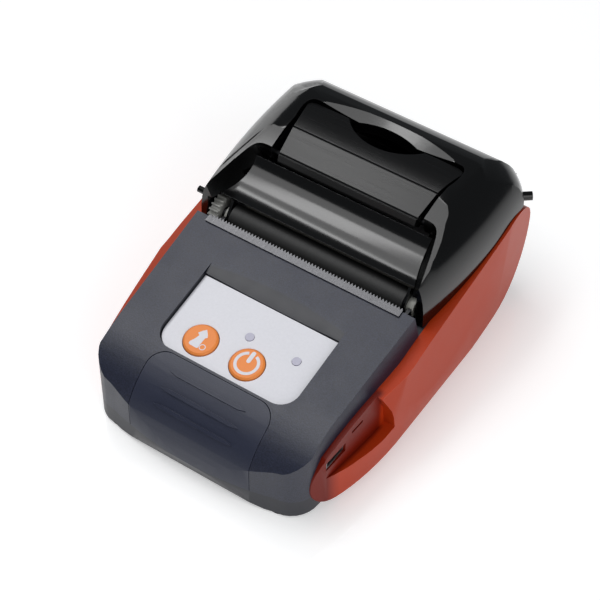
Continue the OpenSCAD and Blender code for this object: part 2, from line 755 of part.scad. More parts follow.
// Flat ribbon from the head down to the main board
module head_ribbon() color([0.85, 0.6, 0.3]) {
    y = platen_y - platen_r - head_gap - head_t - sink_t;
    along_x(4, 16) polygon([[y, 21.3], [y - 0.15, 21.3], [y - 0.15, 16.4], [-8.3, 14.85 + 0.15],
        [-26.4, main_board_z + board_t + 0.15],
        [-27.8, main_board_z + board_t + 0.15], [-27.8, main_board_z + board_t],
        [-26.4, main_board_z + board_t],
        [-8.3, 14.85], [y, 16.2]]);
}

// Thin steel strip with saw teeth along its rear edge, lying on the deck
module tear_bar() color([0.7, 0.7, 0.72]) {
    n = floor(tear_l / tear_pitch);
    translate([0, deck_rear_y, deck_z + 0.02]) rotate([deck_tilt, 0, 0]) linear_extrude(tear_t)
        polygon(concat([[tear_l / 2, 0], [tear_l / 2, -tear_w], [-tear_l / 2, -tear_w], [-tear_l / 2, 0]],
            [for (i = [0:n - 1], j = [0, 1]) [-tear_l / 2 + (i + 0.15 + 0.35 * j) * tear_l / n,
                tooth_h * j]]));
}

// Straight-flanked gear teeth, slim enough to run with a little play
module teeth(n, phase = 0) {
    r = n * gear_m / 2;
    a = 360 / n;
    rotate(phase) polygon([for (i = [0:n - 1], p = [[-0.29, -1.2], [-0.14, 0.85], [0.14, 0.85], [0.29, -1.2]])
        polar(r + p[1] * gear_m, (i + p[0]) * a)]);
}

// Turn of each wheel that puts its teeth in the gaps of the one before
function mesh(n_a, phase_a, n_b, a) = a + 180 + 180 / n_b + (a - phase_a) * n_a / n_b;
phase_small = mesh(n_platen, 0, n_small, a_reduction);
phase_large = 0;
phase_idler = mesh(n_large, phase_large, n_idler, a_idler);
phase_motor = mesh(n_idler, phase_idler, n_motor, a_motor);

module platen_gear() color([0.82, 0.82, 0.8]) along_x(gear_x0, gear_x1) translate(platen_c) difference() {
    teeth(n_platen);
    circle(shaft_r + 0.01);
}

module reduction_gear() color([0.88, 0.88, 0.85]) difference() {
    union() {
        along_x(gear_x0, gear_x1 - 0.2) translate(reduction_c) teeth(n_small, phase_small);
        along_x(gear_x1 - 0.2, wheel_x1) translate(reduction_c) circle(n_small * gear_m / 2 - 1.2 * gear_m);
        along_x(wheel_x0, wheel_x1) translate(reduction_c) teeth(n_large, phase_large);
    }
    rod(axle_r + run, gear_x0 - 1, wheel_x1 + 1, reduction_c[0], reduction_c[1]);
}

module idler_gear() color([0.88, 0.88, 0.85]) along_x(wheel_x0, wheel_x1) translate(idler_c) difference() {
    teeth(n_idler, phase_idler);
    circle(axle_r + run);
}

module motor_pinion() color([0.85, 0.75, 0.45]) {
    along_x(wheel_x0, wheel_x1) translate(motor_c) difference() {
        teeth(n_motor, phase_motor);
        circle(0.75);
    }
    rod(0.75, wheel_x0, frame_x0 + frame_t, motor_c[0], motor_c[1]);
}

module gear_axles() color([0.78, 0.78, 0.8]) {
    for (c = [[reduction_c, gear_x0 - 0.1], [idler_c, wheel_x0 - 0.6]])
        rod(axle_r, c[1], frame_x0 + frame_t, c[0][0], c[0][1]);
}

module motor() color([0.72, 0.73, 0.75]) {
    x = frame_x0 + frame_t;
    rod(motor_r, x, x + motor_l, motor_c[0], motor_c[1]);
    rod(2.5, x + motor_l, x + motor_l + 0.8, motor_c[0], motor_c[1]);
}

module paper_sensor() color([0.1, 0.1, 0.1]) difference() {
    translate([6, frame_y1 - 1.8, frame_z0 + frame_t]) cube([4, 1.6, 3]);
    translate([7, frame_y1 - 0.7, frame_z0 + frame_t + 1.2]) cube([2, 1, 1.2]);
}

module lid_sensor() color([0.1, 0.1, 0.1]) {
    translate([22, frame_y0 + frame_t, frame_z0 + frame_t]) cube([5, 2.4, 5]);
    translate([24.2, frame_y0 + frame_t + 0.7, frame_z0 + frame_t + 5]) cube([0.8, 1, 0.8]);
}

// Trough for the roll with two round side walls
module paper_bin() color([0.09, 0.09, 0.1]) {
    along_x(-bin_hw - bin_t, bin_hw + bin_t) intersection() {
        difference() {
            translate([bin_y, bin_z]) circle(bin_r + bin_t, $fn = 96);
            translate([bin_y, bin_z]) circle(bin_r, $fn = 96);
        }
        bin_cut();
    }
    both_sides() along_x(bin_hw, bin_hw + bin_t) intersection() {
        translate([bin_y, bin_z]) circle(bin_r + bin_t, $fn = 96);
        bin_cut();
    }
}

module bin_cut() {
    translate([frame_y1 + 1.8, 0]) square([60, bin_top]);
}

module hinge_pin() color([0.8, 0.8, 0.82]) rod(hinge_pin_r, -core_hw + 1.6, core_hw - 1.6, hinge_y, hinge_z);

// Flank of the lid from its lower edge to the flat top: half width and height
function flank(inset) = curve([[lid_rear_hw - inset, case_h - 18],
    [lid_rear_hw - inset, case_h - 6.6 - inset / 2],
    [lid_flat_hw + 7.5 - inset * 0.7, case_h - 2.2 - inset],
    [lid_flat_hw + 0.5 - inset / 2, case_h - inset]], 10);

// Both flanks curve in towards the front, each turned about an upright axis beyond the other one
module lid_flanks(inset = 0) {
    far = 144;
    p = flank(inset);
    intersection_for(m = [0, 1]) mirror([m, 0, 0]) translate([-far, lid_wide_y, 0]) rotate_extrude()
        polygon(concat([[0, 10], [far + lid_rear_hw - inset, 10]], [for (q = p) [far + q[0], q[1]]],
            [[0, case_h - inset]]));
}

// Block outside the round rear corner, whose radius shrinks towards the top
module lid_corner(inset = 0) {
    c = [16.5, lid_wide_y + 0.5];
    difference() {
        translate([c[0], c[1], 20]) cube(40);
        translate([c[0], c[1], 0]) rotate_extrude() polygon(concat([[0, 10], [22.9 - inset, 10]],
            curve([[22.9 - inset, case_h - 13], [22.3 - inset, case_h - 7], [17.6 - inset, case_h - 3.6],
                [12.4 - inset, case_h - 1.3]], 6), [[8, case_h + 2], [0, case_h + 2]]));
    }
}

// Upper edge of the lid in the side view, from its front edge to the flat top
function lid_top(y) = y < slope_y0 ? slope_z0 + slope_k * (y - lid_front_y)
    : bez([lid_top0, lid_top0 + slope_k * (slope_y1 - slope_y0) / 3, case_h, case_h],
        min(1, (y - slope_y0) / (slope_y1 - slope_y0)));
lid_top0 = slope_z0 + slope_k * (slope_y0 - lid_front_y);

// Side view of the lid: front slope, flat top, rounded back, lower edge along the side panels
module lid_side(inset = 0) {
    r = 15 - inset;
    y0 = lid_front_y + inset;
    sweep = barrel_r + 0.7;
    polygon(concat(
        [[y0, inset > 0 ? 15 : rim_z(lid_front_y) + lid_gap], [y0, lid_top(y0) - inset * 1.04]],
        [for (i = [0:6], y = [slope_y0 + (slope_y1 - slope_y0) * i / 6]) [y, lid_top(y) - inset * 1.04]],
        arc([y_back - 15, case_h - 15], r, 90, 0),
        inset > 0 ? [[y_back - inset, 15]] : concat([[y_back, hinge_z + 2.4]],
            arc([hinge_y, hinge_z], sweep, 33, 95),
            [[46, rim_z(40) + lid_gap - 0.3], [43, rim_z(40) + lid_gap]],
            [for (y = [40:-5:5]) [y, rim_z(y) + lid_gap]])));
}

// Outline of the lid seen from above
module lid_plan(inset = 0) {
    r = rear_r + 1 - inset;
    hw = lid_rear_hw - inset;
    yb = y_back - inset;
    polygon(concat([[-hw, lid_front_y - 1], [hw, lid_front_y - 1]],
        arc([hw - r, yb - r], r, 0, 90), arc([-hw + r, yb - r], r, 90, 180)));
}

// Filled form of the lid, or of the space in it
module lid_form(inset = 0) {
    difference() {
        intersection() {
            lid_flanks(inset);
            along_x(-40, 40) lid_side(inset);
            linear_extrude(case_h + 5) lid_plan(inset);
        }
        both_sides() lid_corner(inset);
    }
}

// Space over the frame round the window and the lever, a little below the shoulders
module frame_recess() {
    side = concat([[32.6, 0]], curve([[32.4, 1.5], [31.6, 7], [29, 16], [27.2, 22.4]], 8),
        curve([[27.2, 22.4], [26.6, 24.8], [25.6, 25.6], [22, 25.7]], 4));
    intersection() {
        translate([0, 0, 20]) linear_extrude(40) polygon(concat([for (q = side) q],
            [for (i = [len(side) - 1:-1:0]) [-side[i][0], side[i][1]]]));
        along_x(-40, 40) polygon([[-1, slope_z0 - frame_drop + slope_k * (-1 - lid_front_y)],
            [27, slope_z0 - frame_drop + slope_k * (27 - lid_front_y)], [27, 70], [-1, 70]]);
    }
}

// Half spaces that bound the window of the paper guide, leaning out upwards and forwards
module window_wedge(grow = 0) {
    intersection_for(m = [0, 1]) mirror([m, 0, 0])
        translate([29 + grow, 4, 35.6]) rotate([0, 23, 21.7])
            translate([-80, -60, -60]) cube([80, 120, 120]);
}

// Rear end of the window, its corners rounded
module window_plan() {
    y1 = guide_y1 + 1.45;
    side = curve([[29.2, y1 - 7], [27.8, y1 - 2.2], [27.5, y1], [24, y1]], 6);
    polygon(concat([[-40, -1], [40, -1], [40, y1 - 9]], side,
        [for (i = [6:-1:0]) [-side[i][0], side[i][1]]], [[-40, y1 - 9]]));
}

// Half width of the lever along its length, wider at the back
function lever_x(y) = lever_hw + (y - lever_y0) * 0.115
    + 0.6 * pow(max(0, min(1, (y - 27) / (lever_y1 - 29))), 1.5);

// Hole for the lever, with the cut for a fingertip and the scoop behind it
module lever_hole() {
    hw = lever_hw + 2.1;
    y1 = lever_y1 + lever_gap;
    side = concat([[hw, guide_y1 - 1], [hw + 0.2, 28]],
        curve([[hw + 0.3, 29], [hw + 1.3, 34], [hw + 1.6, y1], [hw - 1.6, y1]], 8));
    translate([0, 0, 30]) linear_extrude(30) polygon(concat(side,
        [for (i = [len(side) - 1:-1:0]) [-side[i][0], side[i][1]]]));
    translate([0, y1 + 1.7 - 23, case_h - 8]) intersection() {
        cylinder(r = 23, h = 20);
        translate([-12, 12, -1]) cube([24, 20, 30]);
    }
    intersection() {
        translate([0, 42.3 - 44, case_h + 111.6]) sphere(r = 120, $fn = 96);
        translate([-30, lever_y1 - 1, 30]) cube([60, 12, 30]);
    }
}

module cover_shell() color([0.06, 0.06, 0.065]) difference() {
    union() {
        difference() {
            union() {
                lid_form();
                // Two small round stops, on the left flank and at the right rear corner
                rod(0.9, -35.2, -33, lid_front_y + 1.7, 34);
                translate([16.5, lid_wide_y + 0.5, 33]) rotate([0, 0, 38]) rod(1.2, 21.5, 25.2, 0, 0);
                // Back wall between the side panels' rear tips
                intersection() {
                    linear_extrude(40) core_plan(fit);
                    translate([-40, hinge_y, hinge_z]) cube([80, 10, 6]);
                }
            }
            lid_form(wall);
        }
        // Hinge barrel, joined to the back wall
        rod(barrel_r, -29.9, 29.9, hinge_y, hinge_z);
        translate([-29.9, hinge_y + 0.8, hinge_z]) cube([59.8, barrel_r - 0.8, 8]);
        // Cheeks beside the paper guide
        intersection() {
            lid_form();
            difference() {
                window_wedge(1.4 + fit);
                window_wedge(fit);
            }
            translate([-40, lid_front_y, 35.15]) cube([80, guide_y1 - lid_front_y + 1.2, 20]);
        }
        // Turned-down front ends of the frame beside the lever, and the wall below the finger cut
        intersection() {
            lid_form(0.5);
            union() {
                both_sides() translate([lever_hw + 2, guide_y1 + 1.4, guide_tab_z + 4.2]) cube([4, 1.6, 12]);
                translate([0, lever_y1 + lever_gap + 1.7 - 23, case_h - 4.6]) difference() {
                    cylinder(r = 24.2, h = 12);
                    translate([-40, -60, -1]) cube([80, 60 + 20.8, 20]);
                }
            }
        }
        both_sides() {
            // Bosses for the lever's pin and for the guide's screws
            along_x(lever_hw + 2.1, lever_hw + 4.5) intersection() {
                union() {
                    translate(lever_c) circle(2.1);
                    translate(lever_c - [2.1, 0]) square([4.2, 4]);
                }
                lid_side(0.5);
            }
            intersection() {
                translate([guide_screw[0], guide_screw[1], guide_tab_z + 1.65]) cylinder(r = 2, h = 12);
                lid_form(0.6);
            }
        }
    }
    // Window for the paper guide and the roller's end pieces
    intersection() {
        window_wedge(fit);
        translate([0, 0, 20]) linear_extrude(40) window_plan();
    }
    frame_recess();
    translate([-31.2, -1, 20]) cube([62.4, 16, 15.15]);
    both_sides() translate([23.8, guide_y1 - 5, guide_tab_z - 0.2]) cube([4.4, 15, 1.82]);
    lever_hole();
    rod(lever_pin_r + 0.01, -lever_hw - 4.3, lever_hw + 4.3, lever_c[0], lever_c[1]);
    both_sides() translate([guide_screw[0], guide_screw[1], 30])
        cylinder(r = 0.95, h = guide_tab_z + 3.4 - 30);
    rod(hinge_pin_r + run, -35, 35, hinge_y, hinge_z);
    // Notches for the hinge ears of the base
    both_sides() rod(ear_r + 0.2, bin_hw + bin_t - 0.1, core_hw + 5, hinge_y, hinge_z);
}

guide_y1 = 16.5;
guide_tab_z = 36.4;
guide_screw = [26, 22.4];
lever_c = [20.8, 39.5];
ear_x0 = frame_x0 + frame_t + ear_gap;
ear_x1 = rubber_x1 + ear_gap;

// Concave chute that the paper leaves over, with the roller's ears below it
module paper_guide() color([0.05, 0.05, 0.055]) difference() {
    union() {
        intersection() {
            along_x(-40, 40) guide_side();
            window_wedge();
        }
        both_sides() along_x(24, 28) polygon([[guide_y1 - 3.6, guide_tab_z], [24.4, guide_tab_z],
            [24.4, guide_tab_z + 1.6], [guide_y1 - 2, guide_tab_z + 1.6]]);
        for (x = [ear_x0, ear_x1]) along_x(x, x + ear_t) hull() {
            translate(platen_c) circle(bush_r + 1);
            translate([platen_y - 0.2, 34.5]) square([2.5, 0.5]);
        }
    }
    rod(bush_r + 0.01, -40, 40, platen_y, platen_z);
    both_sides() translate([guide_screw[0], guide_screw[1], 30]) cylinder(r = 1.1, h = 12);
}

// Side view of the guide: a thin concave skin with a turned lip
module guide_side() {
    lip = [platen_y - 0.4, 35.6];
    top = [guide_y1 - 0.2, 40.4];
    face = curve([lip, lip + [4.2, -0.6], top + [-2.2, -3.6], top], 10);
    polygon(concat([lip + [0, -0.9]], [for (p = face) p], [top + [0.3, -0.7]],
        [for (i = [9:-1:1]) face[i] + [0.6, -1.2]]));
}

module guide_screws() color([0.3, 0.3, 0.32]) both_sides()
    translate([guide_screw[0], guide_screw[1], guide_tab_z - 0.9]) {
        cylinder(r = 1.7, h = 0.9);
        cylinder(r = 0.95, h = 4);
    }

module lever_pin() color([0.8, 0.8, 0.82])
    rod(lever_pin_r, -lever_hw - 4.1, lever_hw + 4.1, lever_c[0], lever_c[1]);

module lever_springs() color([0.75, 0.75, 0.78]) for (x = [-17.1, 14.1]) difference() {
    rod(lever_pin_r + 0.8, x, x + 3, lever_c[0], lever_c[1]);
    rod(lever_pin_r + 0.1, x - 1, x + 4, lever_c[0], lever_c[1]);
}

// Curved plate with a notch for a fingertip and lugs on its pin
module release_lever() color([0.08, 0.08, 0.09]) difference() {
    union() {
        intersection() {
            along_x(-lever_hw - 4, lever_hw + 4) lever_side();
            translate([0, 0, 30]) linear_extrude(30) lever_plan();
        }
        for (x = [-20.3, -13.4, 10.9, 17.8]) along_x(x, x + 2.5) union() {
            translate(lever_c) circle(lever_pin_r + 0.9);
            translate(lever_c - [1.9, 0]) square([3.8, 2.2]);
        }
    }
    rod(lever_pin_r + run, -40, 40, lever_c[0], lever_c[1]);
    translate([0, 31.1 + 14.2, 30]) cylinder(r = 14.2, h = 30);
}

module lever_plan() {
    y1 = lever_y1;
    hw = lever_x(y1);
    side = concat([[lever_x(lever_y0), lever_y0 - 2]],
        [for (y = [lever_y0:3:y1 - 2.5]) [lever_x(y), y]],
        curve([[lever_x(y1 - 2), y1 - 2], [hw, y1 - 0.7], [hw - 1.2, y1], [hw - 3, y1]], 5));
    polygon(concat(side, [for (i = [len(side) - 1:-1:0]) [-side[i][0], side[i][1]]]));
}

// Side view of the lever: upright front lip, sloping face between two grooves, flat rear
module lever_side() {
    z = case_h;
    polygon(concat([[lever_y0, z - 5.9], [lever_y0 + 0.7, z - 3.6], [lever_y0 + 1.1, z - 3.8],
            [lever_y0 + 1.4, z - 3.3],
            [lever_y0 + 8.75, z - 0.7], [lever_y0 + 9, z - 1.05], [lever_y0 + 9.3, z - 0.55]],
        curve([[lever_y0 + 9.3, z - 0.55], [lever_y0 + 12, z - 0.3],
            [lever_y1 - 5, z - 0.3], [lever_y1, z - 0.9]], 8),
        [[lever_y1, z - 2], [lever_y1 - 1.2, z - 2.5], [lever_y0 + 12, z - 2.3], [lever_y0 + 9.3, z - 2.55],
            [lever_y0 + 2.4, z - 4.9], [lever_y0 + 1.5, z - 5.9]]));
}

module platen_shaft() color([0.8, 0.8, 0.82])
    rod(shaft_r, gear_x0 - 0.2, frame_x1 + frame_t + 0.3, platen_y, platen_z);

module platen_rubber() color([0.08, 0.08, 0.08]) difference() {
    rod(platen_r, rubber_x0, rubber_x1, platen_y, platen_z);
    rod(shaft_r, rubber_x0 - 1, rubber_x1 + 1, platen_y, platen_z);
}

// Plain bushes at the two ends of the roller, held by the lid and dropped into the frame
module platen_bushes() color([0.75, 0.75, 0.72])
    for (x = [[frame_x0 - 0.05, rubber_x0 - 0.1], [rubber_x1 + 0.1, frame_x1 + frame_t + 0.05]])
    difference() {
        rod(bush_r, x[0], x[1], platen_y, platen_z);
        rod(shaft_r + run, x[0] - 1, x[1] + 1, platen_y, platen_z);
    }

base_shell();
top_shell();
nose_grip();
side_panel_left();
side_panel_right();
label_plate();
feed_button();
power_button();
light_window_left();
light_window_right();
button_board();
button_switches();
status_lights();
main_board();
board_chips();
usb_socket();
battery();
battery_contacts();
battery_door();
feet();
case_screws();
printer_frame();
frame_screws();
print_head();
head_heat_sink();
head_pivot_pin();
head_springs();
head_ribbon();
tear_bar();
motor();
motor_pinion();
idler_gear();
reduction_gear();
gear_axles();
paper_sensor();
lid_sensor();
paper_bin();
hinge_pin();
cover_shell();
paper_guide();
guide_screws();
lever_pin();
lever_springs();
release_lever();
platen_shaft();
platen_rubber();
platen_gear();
platen_bushes();
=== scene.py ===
# %% [markdown]
# # A pocket receipt printer in Blender
# The real thing is a soft-feel case as long as a hand, with a glossy lid over the paper. The solid
# model already holds every part at its real size, so this lesson is about looks. We start by
# loading that model, which stays exactly where it is, and note how big it is.

# %% Load the frame
import json
import math

import bmesh
import bpy
from mathutils import Matrix, Vector


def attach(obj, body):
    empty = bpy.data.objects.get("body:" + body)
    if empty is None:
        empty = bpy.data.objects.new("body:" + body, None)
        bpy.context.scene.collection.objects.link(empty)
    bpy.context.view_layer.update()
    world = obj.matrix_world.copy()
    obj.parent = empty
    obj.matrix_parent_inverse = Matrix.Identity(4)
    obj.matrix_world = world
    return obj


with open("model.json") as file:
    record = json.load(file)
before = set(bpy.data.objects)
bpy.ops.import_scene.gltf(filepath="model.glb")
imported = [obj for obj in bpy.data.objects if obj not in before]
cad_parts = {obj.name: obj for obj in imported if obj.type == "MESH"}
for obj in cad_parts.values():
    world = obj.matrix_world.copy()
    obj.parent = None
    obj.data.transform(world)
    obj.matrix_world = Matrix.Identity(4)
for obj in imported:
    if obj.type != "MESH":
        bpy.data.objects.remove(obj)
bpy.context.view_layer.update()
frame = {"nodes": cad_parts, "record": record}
nodes = frame["nodes"]
MM = 0.001

# %% [markdown]
# The portrait was taken with a long lens from above the front right corner. The lens, the distance
# and the tilt were worked out from the corners and edges of the case, so the printer fills the
# square frame in the same way. Sizes are in millimetres from the middle of the footprint.


# %% Camera
def place_camera():
    around, above, roll = (math.radians(a) for a in (33.4335, 48.4881, 0.5841))
    aim = Vector((0, -9.8, 20))
    distance, slide_x, slide_y = 472.012, -4.0024, -3.5771
    focal_px, picture_px, sensor_mm = 1878.09, 600, 36
    level = math.cos(above)
    back = Vector((math.sin(around) * level, -math.cos(around) * level, math.sin(above)))
    right = Vector((math.cos(around), math.sin(around), 0))
    up = back.cross(right)
    right, up = (
        right * math.cos(roll) + up * math.sin(roll),
        -right * math.sin(roll) + up * math.cos(roll),
    )
    data = bpy.data.cameras.new("portrait_lens")
    data.sensor_width = sensor_mm
    data.lens = focal_px / picture_px * sensor_mm
    data.clip_start, data.clip_end = 0.02, 20
    camera = bpy.data.objects.new("portrait_camera", data)
    turn = Matrix((right, up, back)).transposed()
    place = (aim + back * distance - right * slide_x - up * slide_y) * MM
    camera.matrix_world = Matrix.Translation(place) @ turn.to_4x4()
    bpy.context.scene.collection.objects.link(camera)
    bpy.context.scene.camera = camera
    return camera


camera = place_camera()
print("camera at", [round(v / MM) for v in camera.matrix_world.translation], "mm")

# %% [markdown]
# The printer stands on a light table: a sheet of white acrylic that glows a little from below, so
# it stays white round the case and shadows stay faint. A clear coat over it gives the soft mirror
# image under the nose. A flat plane would do for the shape, and the coat and the glow are settings.


# %% Pale floor
def pale_floor():
    mesh = bpy.data.meshes.new("floor")
    edge = 6.0  # metres from the middle, far beyond the picture
    corners = [(-edge, -edge, 0), (edge, -edge, 0), (edge, edge, 0), (-edge, edge, 0)]
    mesh.from_pydata(corners, [], [(0, 1, 2, 3)])
    floor = bpy.data.objects.new("floor", mesh)
    bpy.context.scene.collection.objects.link(floor)
    material = bpy.data.materials.new("pale_floor")
    material.use_nodes = True
    shader = material.node_tree.nodes["Principled BSDF"]
    shader.inputs["Base Color"].default_value = (0.88, 0.88, 0.88, 1)
    shader.inputs["Roughness"].default_value = 0.6
    shader.inputs["Coat Weight"].default_value = 1.0
    shader.inputs["Coat Roughness"].default_value = 0.05
    shader.inputs["Emission Color"].default_value = (1, 1, 1, 1)
    shader.inputs["Emission Strength"].default_value = 0.36
    mesh.materials.append(material)


# %% [markdown]
# Pictures of glossy black plastic are all about what the plastic reflects. The flat top of the lid
# mirrors the upper left behind the printer, so that part of the studio stays dim and the lid reads
# black. A large soft box hangs overhead for the sloping faces. Two narrow strips in front of and
# behind its middle draw the pale bands in the fingertip scoop and along the lever.


# %% Soft boxes
def soft_box(name, place, size, power, colour=(1, 1, 1)):
    """A rectangular lamp that points at the middle of the printer."""
    data = bpy.data.lights.new(name, "AREA")
    data.shape = "RECTANGLE"
    data.size, data.size_y = size
    data.energy = power
    data.color = colour
    lamp = bpy.data.objects.new(name, data)
    lamp.location = place
    lamp.rotation_mode = "QUATERNION"
    target = Vector((0, 0, 0.02))
    lamp.rotation_quaternion = (target - Vector(place)).to_track_quat("-Z", "Y")
    bpy.context.scene.collection.objects.link(lamp)
    print(name, "at", place, "m,", power, "W")


def studio():
    """A dim blue-white room and five lamps."""
    world = bpy.data.worlds.new("dim_studio")
    world.use_nodes = True
    sky = world.node_tree.nodes["Background"]
    sky.inputs["Color"].default_value = (0.88, 0.94, 1.0, 1)
    sky.inputs["Strength"].default_value = 0.14
    bpy.context.scene.world = world
    soft_box("overhead_box", (-0.28, -0.04, 0.84), (0.95, 0.62), 4.2)
    soft_box("scoop_strip", (-0.33, -0.05, 0.84), (0.34, 0.12), 0.75)
    soft_box("lever_strip", (-0.38, 0.37, 0.82), (0.3, 0.07), 0.45)
    soft_box("front_fill", (0.75, -0.45, 0.5), (0.9, 0.9), 4.6)
    soft_box("left_rim", (-0.95, 0.62, 0.2), (0.7, 0.45), 1.3)


pale_floor()
studio()
bpy.context.scene.view_settings.view_transform = "Standard"

# %% [markdown]
# Finishes are node trees, and most trees repeat the same few steps: a sum or a product, a mask
# between two values, a mix of two colours, a named socket on a group. Each gets a short helper
# here, so that the cells below read as what the finish does.


# %% Small helpers for node trees
def socket(tree, name, kind, inward, value=None):
    made = tree.interface.new_socket(name, in_out="INPUT" if inward else "OUTPUT", socket_type=kind)
    if value is not None:
        made.default_value = value
    return made


def maths(tree, operation, *values):
    """One maths node; each value is a socket or a plain number."""
    node = tree.nodes.new("ShaderNodeMath")
    node.operation = operation
    for entry, value in zip(node.inputs, values):
        if isinstance(value, (int, float)):
            entry.default_value = value
        else:
            tree.links.new(value, entry)
    return node.outputs[0]


def ramp(tree, value, start, end):
    """0 where the value is at its start, 1 where it is at its end."""
    node = tree.nodes.new("ShaderNodeMapRange")
    node.inputs["From Min"].default_value = start
    node.inputs["From Max"].default_value = end
    tree.links.new(value, node.inputs["Value"])
    return node.outputs["Result"]


def mix_colours(tree, mask, below, above):
    """The first colour where the mask is 0, the second where it is 1."""
    node = tree.nodes.new("ShaderNodeMix")
    node.data_type = "RGBA"
    entries = node.inputs["Factor"], node.inputs[6], node.inputs[7]
    for entry, value in zip(entries, (mask, below, above)):
        if isinstance(value, tuple):
            entry.default_value = (*value, 1)
        else:
            tree.links.new(value, entry)
    return node.outputs[2]


print("helpers: socket, maths, ramp, mix_colours")


# %% [markdown]
# Every moulded plastic part carries a fine spark-eroded grain from its steel mould, and a soft-feel
# coat breaks it up a little more. Both are the same effect at different strengths, so the grain is
# built once as a node group: noise pushed through a bump, with its scale and depth as inputs.


# %% Grain group
def grain_group():
    tree = bpy.data.node_groups.new("moulded_grain", "ShaderNodeTree")
    socket(tree, "Colour", "NodeSocketColor", True, (0.5, 0.5, 0.5, 1))
    socket(tree, "Grain per metre", "NodeSocketFloat", True, 3000.0)
    socket(tree, "Depth", "NodeSocketFloat", True, 0.2)
    socket(tree, "Roughness", "NodeSocketFloat", True, 0.5)
    socket(tree, "Mottle", "NodeSocketFloat", True, 0.06)
    socket(tree, "Speckle", "NodeSocketFloat", True, 0.1)
    socket(tree, "Colour", "NodeSocketColor", False)
    socket(tree, "Roughness", "NodeSocketFloat", False)
    socket(tree, "Normal", "NodeSocketVector", False)
    n, link = tree.nodes, tree.links.new
    given, out = n.new("NodeGroupInput"), n.new("NodeGroupOutput")
    place = n.new("ShaderNodeTexCoord")
    fine = n.new("ShaderNodeTexNoise")
    fine.inputs["Detail"].default_value = 2
    link(place.outputs["Object"], fine.inputs["Vector"])
    link(given.outputs["Grain per metre"], fine.inputs["Scale"])
    broad = n.new("ShaderNodeTexNoise")
    broad.inputs["Scale"].default_value = 160
    broad.inputs["Detail"].default_value = 5
    link(place.outputs["Object"], broad.inputs["Vector"])
    bump = n.new("ShaderNodeBump")
    bump.inputs["Distance"].default_value = 0.00004
    link(given.outputs["Depth"], bump.inputs["Strength"])
    link(fine.outputs["Fac"], bump.inputs["Height"])
    link(bump.outputs["Normal"], out.inputs["Normal"])
    # Brightness wanders a few per cent over the part, and roughness with it
    wander = maths(tree, "SUBTRACT", broad.outputs["Fac"], 0.5)
    wander = maths(tree, "MULTIPLY", wander, given.outputs["Mottle"])
    specks = maths(tree, "SUBTRACT", fine.outputs["Fac"], 0.5)
    specks = maths(tree, "MULTIPLY_ADD", specks, given.outputs["Speckle"], 1)
    tint = n.new("ShaderNodeVectorMath")
    tint.operation = "SCALE"
    link(given.outputs["Colour"], tint.inputs[0])
    link(maths(tree, "ADD", wander, specks), tint.inputs["Scale"])
    link(tint.outputs[0], out.inputs["Colour"])
    link(maths(tree, "ADD", given.outputs["Roughness"], wander), out.inputs["Roughness"])
    return tree


grain = grain_group()
print("grain group:", len(grain.nodes), "nodes")

# %% [markdown]
# Handled plastic goes pale and shiny first on its corners. Blender has no brush for that, but the
# Bevel node tells how a rounded copy of the surface would face. Where that differs from the true
# normal there is an edge. Noise breaks the line up, so the wear comes and goes as it does in life.


# %% Edge wear group
def edge_wear_group():
    tree = bpy.data.node_groups.new("edge_wear", "ShaderNodeTree")
    socket(tree, "Colour", "NodeSocketColor", True, (0.5, 0.5, 0.5, 1))
    socket(tree, "Worn colour", "NodeSocketColor", True, (0.6, 0.6, 0.6, 1))
    socket(tree, "Amount", "NodeSocketFloat", True, 0.4)
    socket(tree, "Colour", "NodeSocketColor", False)
    n, link = tree.nodes, tree.links.new
    given, out = n.new("NodeGroupInput"), n.new("NodeGroupOutput")
    rounded, flat = n.new("ShaderNodeBevel"), n.new("ShaderNodeNewGeometry")
    rounded.samples = 4
    rounded.inputs["Radius"].default_value = 0.0004
    facing = n.new("ShaderNodeVectorMath")
    facing.operation = "DOT_PRODUCT"
    link(rounded.outputs["Normal"], facing.inputs[0])
    link(flat.outputs["Normal"], facing.inputs[1])
    edge = ramp(tree, facing.outputs["Value"], 0.99, 0.86)
    place, patches = n.new("ShaderNodeTexCoord"), n.new("ShaderNodeTexNoise")
    patches.inputs["Scale"].default_value = 420
    patches.inputs["Detail"].default_value = 4
    link(place.outputs["Object"], patches.inputs["Vector"])
    broken = ramp(tree, patches.outputs["Fac"], 0.42, 0.62)
    worn = maths(tree, "MULTIPLY", edge, broken)
    worn = maths(tree, "MULTIPLY", worn, given.outputs["Amount"])
    blend = mix_colours(tree, worn, given.outputs["Colour"], given.outputs["Worn colour"])
    link(blend, out.inputs["Colour"])
    return tree


edge_wear = edge_wear_group()
print("edge wear group:", len(edge_wear.nodes), "nodes")

# %% [markdown]
# Polished plastic and bare metal show direction: wiping leaves faint streaks on a glossy lid, and
# rolling or grinding leaves much stronger ones on steel. One group serves both. It stretches noise
# along an axis by squeezing the coordinates across it, and gives a roughness and a fine bump.


